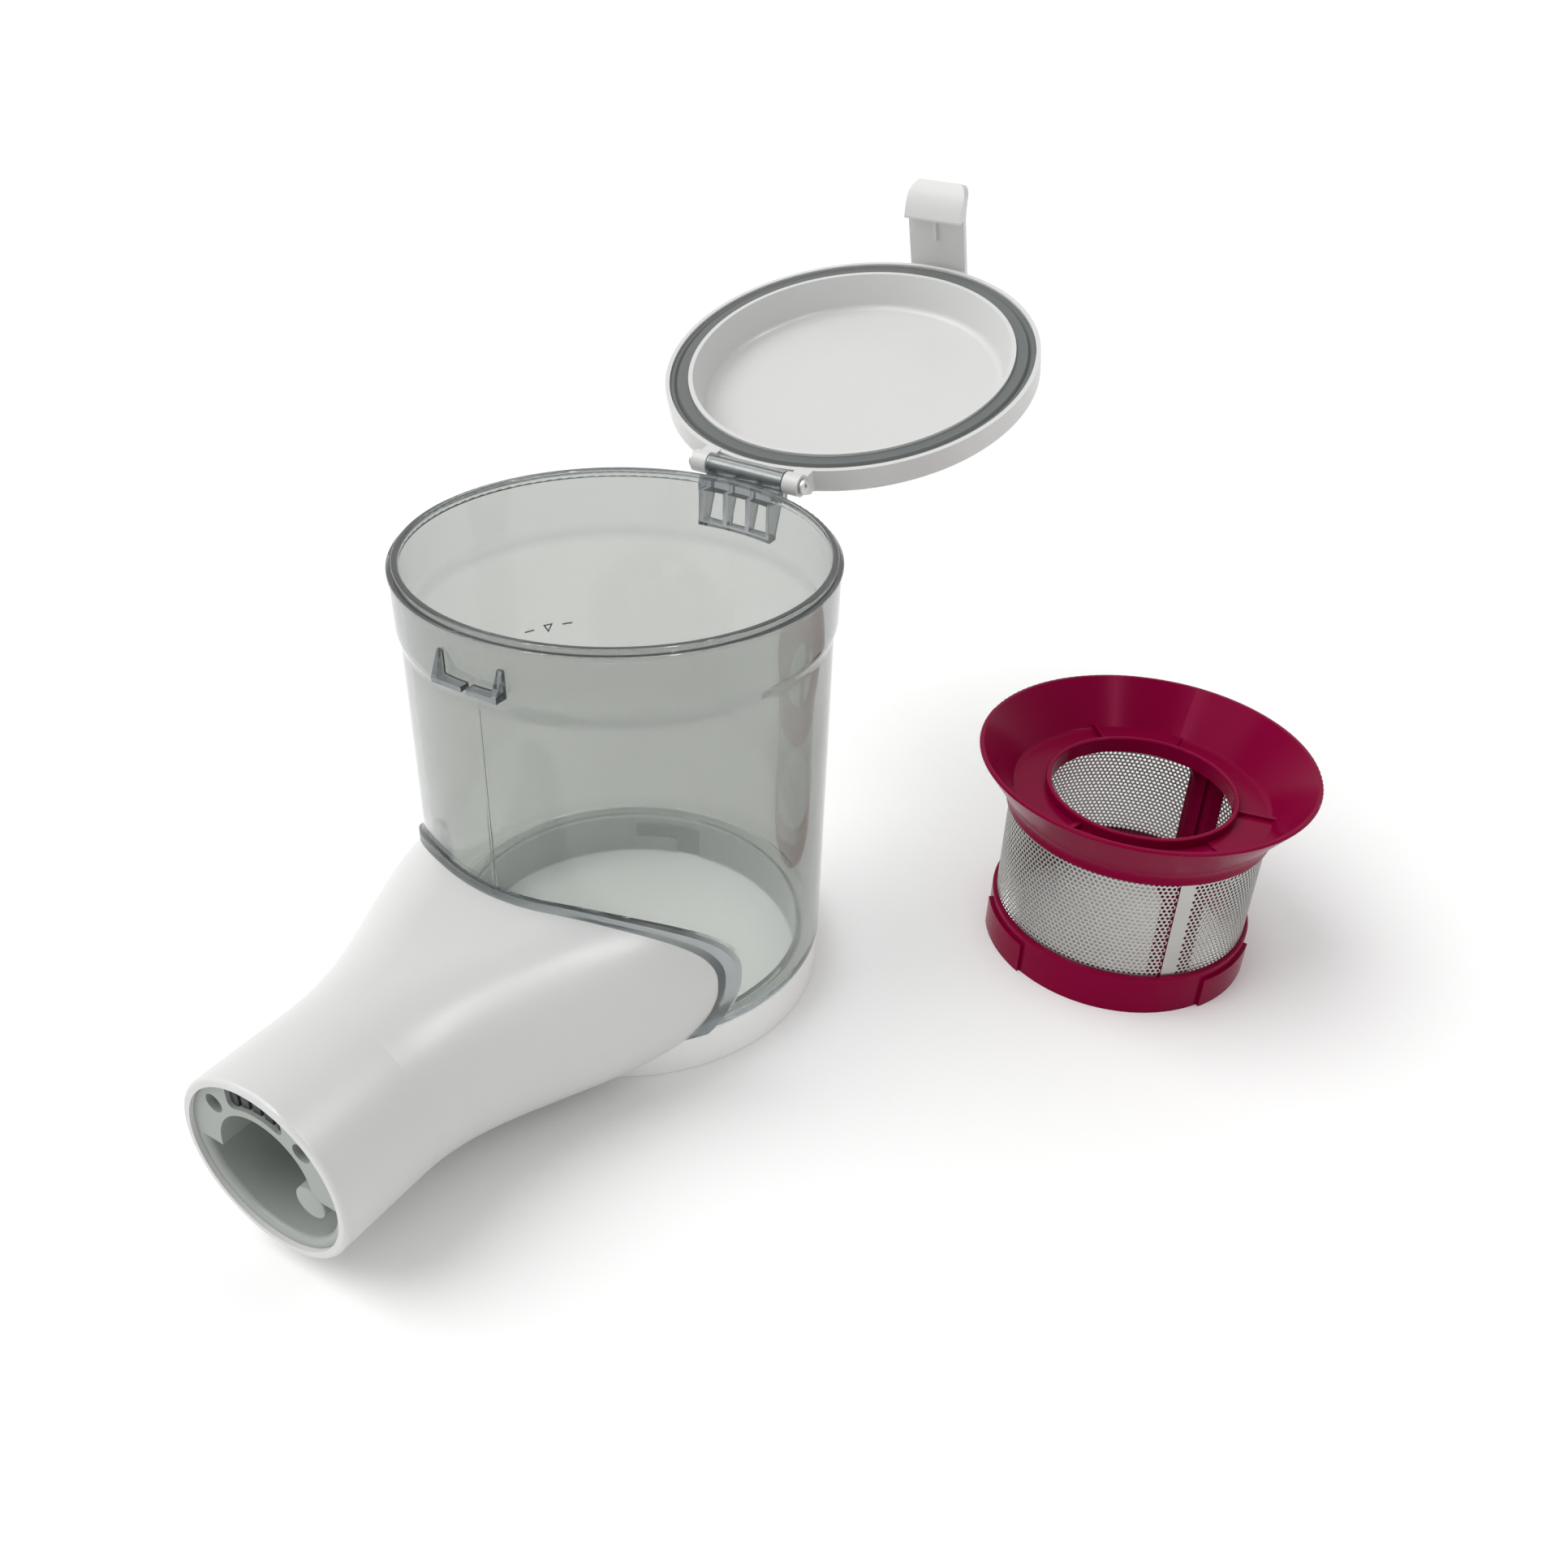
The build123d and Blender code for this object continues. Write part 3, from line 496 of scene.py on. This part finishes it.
def contact_ribs(material):
    """Dark ribs that stand between the spring contacts, on the floor of the liner's slot."""
    low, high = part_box("socket_liner")
    axis = (low + high) / 2
    front = low.x + RIB_SETBACK
    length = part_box("contact_block")[0].x - front
    deselect()
    bpy.ops.mesh.primitive_cube_add(size=1)
    ribs = bpy.context.object
    ribs.name = "contact_ribs"

    # The first block gives way to one block for each rib, all in one mesh
    bpy.ops.object.mode_set(mode="EDIT")
    bpy.ops.mesh.delete(type="VERT")
    for count in range(RIB_COUNT):
        side = (count - (RIB_COUNT - 1) / 2) * RIB_PITCH
        foot = sqrt(SLOT_FLOOR_RADIUS ** 2 - (abs(side) + RIB_WIDTH / 2) ** 2)
        place = (front + length / 2, axis.y + side, axis.z + foot + RIB_HEIGHT / 2)
        bpy.ops.mesh.primitive_cube_add(size=1, location=place)
        bpy.ops.transform.resize(value=(length, RIB_WIDTH, RIB_HEIGHT), center_override=place)
    bpy.ops.mesh.select_mode(type="EDGE")
    bpy.ops.mesh.select_all(action="SELECT")
    bpy.ops.mesh.bevel(offset=RIB_ROUND, segments=2)
    bpy.ops.object.mode_set(mode="OBJECT")
    finish_piece(ribs, material)


def fill_mark(cup, material):
    """Fill mark printed on the cup: a small pointer between two dashes."""
    outwards = Vector((cos(MARK_ANGLE), sin(MARK_ANGLE), 0))
    level = Vector((0, 0, MARK_LEVEL))
    wall = cup.ray_cast(level + outwards, -outwards)[1]
    deselect()
    bpy.ops.mesh.primitive_circle_add(vertices=3, radius=MARK_POINTER, fill_type="NGON")
    mark = bpy.context.object
    mark.name = "fill_mark"
    bpy.ops.object.mode_set(mode="EDIT")
    bpy.ops.mesh.select_mode(type="FACE")
    bpy.ops.mesh.select_all(action="SELECT")
    bpy.ops.mesh.inset(thickness=MARK_LINE)
    bpy.ops.mesh.delete(type="FACE")
    for side in (-1, 1):
        place = (side * MARK_SPREAD, 0, 0)
        bpy.ops.mesh.primitive_plane_add(size=1, location=place)
        bpy.ops.transform.resize(value=(MARK_DASH, MARK_LINE, 1), center_override=place)
        bpy.ops.mesh.subdivide(number_cuts=3)
    bpy.ops.object.mode_set(mode="OBJECT")
    mark.rotation_euler = (-pi / 2, 0, 0)
    bpy.ops.object.transform_apply(rotation=True)
    roll_sheet(mark, (wall - level).length + 2 * MARK_INK, MARK_INK, MARK_ANGLE, level)
    finish_piece(mark, material)


def set_camera():
    """Camera at the photograph's place and angle."""
    data = bpy.data.cameras.new("camera")
    data.sensor_width = SENSOR
    data.lens = FOCAL_PIXELS / IMAGE_PIXELS * SENSOR
    data.clip_start = CAMERA_NEAR
    camera = bpy.data.objects.new("camera", data)
    turn = Matrix.Rotation(CAMERA_HEADING - pi / 2, 4, "Z")
    tilt = Matrix.Rotation(pi / 2 - CAMERA_DIP, 4, "X")
    roll = Matrix.Rotation(CAMERA_ROLL, 4, "Z")
    camera.matrix_world = Matrix.Translation(CAMERA_PLACE) @ turn @ tilt @ roll
    bpy.context.scene.collection.objects.link(camera)
    bpy.context.scene.camera = camera


def pale_floor():
    """Plain pale floor under the object."""
    deselect()
    bpy.ops.mesh.primitive_plane_add(size=FLOOR_SIZE)
    floor = bpy.context.object
    floor.name = "floor"
    finish = Finish("pale_floor", Base_Color=FLOOR_COLOUR, Roughness=0.8)
    floor.data.materials.append(finish.material)


def white_surround():
    """White surround, dimmer overhead and behind the camera, and plain white where the camera sees it."""
    world = bpy.data.worlds.new("surround")
    world.use_nodes = True
    tree = world.node_tree
    direction = Shade(tree, add_node(tree, "TexCoord").outputs["Generated"])
    split = add_node(tree, "SeparateXYZ", Vector=direction)
    x, y, z = [Shade(tree, socket) for socket in split.outputs]
    level = SURROUND_EDGE - (SURROUND_EDGE - SURROUND_TOP) * z.clamp(0, 1)
    behind = (0 - (cos(CAMERA_HEADING) * x + sin(CAMERA_HEADING) * y)).clamp(0, 1)
    seen = Shade(tree, add_node(tree, "LightPath").outputs["Is Camera Ray"])
    strength = level * (1 - SURROUND_BEHIND * behind) * (1 - seen) + seen
    set_sockets(tree, tree.nodes["Background"], Color=(1.0, 1.0, 1.0), Strength=strength)
    bpy.context.scene.world = world


def add_lamp(data, away):
    """A lamp with that data, which shines from that direction."""
    lamp = bpy.data.objects.new(data.name, data)
    lamp.rotation_euler = (-away).to_track_quat("-Z", "Y").to_euler()
    bpy.context.scene.collection.objects.link(lamp)
    return lamp


def key_light():
    """Wide soft light from above."""
    data = bpy.data.lights.new("key_light", "SUN")
    data.energy = KEY_STRENGTH
    data.angle = KEY_SPREAD
    add_lamp(data, KEY_FROM)


def strip_lights():
    """Long narrow lights for the streaks along the duct, the cup and the skirt."""
    for heading, rise, power in STRIP_HEADINGS_RISES_AND_POWERS:
        data = bpy.data.lights.new("strip_light", "AREA")
        data.shape = "RECTANGLE"
        data.size = STRIP_WIDTH
        data.size_y = STRIP_LENGTH
        data.energy = power
        away = Euler((0, -radians(rise), radians(heading))).to_matrix() @ Vector((1, 0, 0))
        lamp = add_lamp(data, away)
        lamp.location = STRIP_AIM + STRIP_DISTANCE * away
        lamp.visible_diffuse = False


materials = finishes()
slots = {part["node"]: part["material_slot"] for part in frame["record"]["subparts"]}
for node, piece in frame["nodes"].items():
    piece.data.materials.clear()
    piece.data.materials.append(materials[OWN_FINISHES.get(node, slots[node])])

perforated_drum(materials["perforated_steel"])
fill_mark(frame["nodes"]["dust_cup"], materials["dark_plastic"])
key_pad(materials["grey_plastic"])
contact_ribs(materials["dark_plastic"])
set_camera()
pale_floor()
white_surround()
key_light()
strip_lights()
bpy.context.scene.view_settings.view_transform = "Standard"
